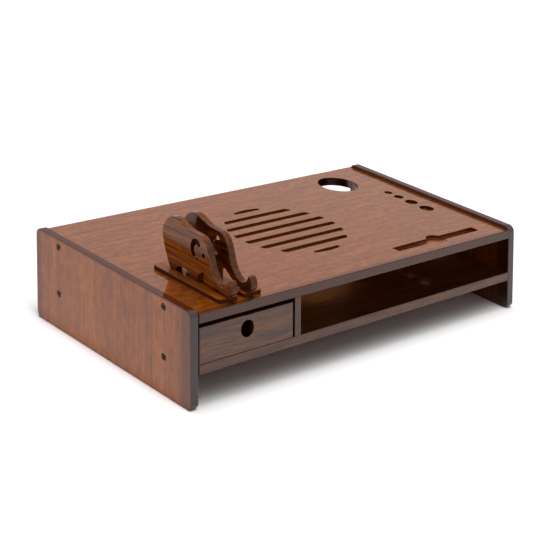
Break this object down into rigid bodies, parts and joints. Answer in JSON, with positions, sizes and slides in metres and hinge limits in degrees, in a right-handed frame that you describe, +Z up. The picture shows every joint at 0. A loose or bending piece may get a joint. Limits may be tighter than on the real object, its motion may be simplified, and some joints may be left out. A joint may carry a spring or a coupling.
{
  "type": "monitor stand with drawer",
  "caption": "Low wooden monitor stand with a drawer beside an open bay, vent slots, cable and pen holes, a phone groove and a loose phone holder with elephant cut-outs.",
  "frame": {"origin": "centre of the stand's footprint, on the floor that the side panels stand on", "axes": "+X to the right along the stand, +Y to its rear, +Z up; the drawer opens towards -Y"},
  "size_m": [0.6, 0.305, 0.1875],
  "materials": {
    "walnut_wood": "walnut stain under gloss lacquer",
    "screw_steel": "satin",
    "dowel_wood": "plain"
  },
  "bodies": {
    "stand": {"side_panel_left": "walnut_wood", "side_panel_right": "walnut_wood", "top_board": "walnut_wood", "lower_shelf": "walnut_wood", "divider": "walnut_wood", "drawer_stop": "walnut_wood", "panel_bolts": "screw_steel", "divider_dowels": "dowel_wood", "divider_screws": "screw_steel", "stop_screws": "screw_steel"},
    "drawer": {"drawer_front": "walnut_wood", "drawer_side_left": "walnut_wood", "drawer_side_right": "walnut_wood", "drawer_back": "walnut_wood", "drawer_bottom": "walnut_wood", "drawer_front_dowels": "dowel_wood", "drawer_back_pins": "screw_steel"},
    "phone_holder": {"phone_holder_base": "walnut_wood", "elephant_left": "walnut_wood", "elephant_right": "walnut_wood", "holder_screws": "screw_steel"}
  },
  "joints": [
    {"name": "drawer_slide", "type": "slide", "parent": "stand", "child": "drawer", "axis": [0, -1, 0], "range_m": [0, 0.2]},
    {"name": "holder_lift", "type": "slide", "parent": "stand", "child": "phone_holder", "axis": [0, 0, 1], "range_m": [0, 0.1]}
  ]
}
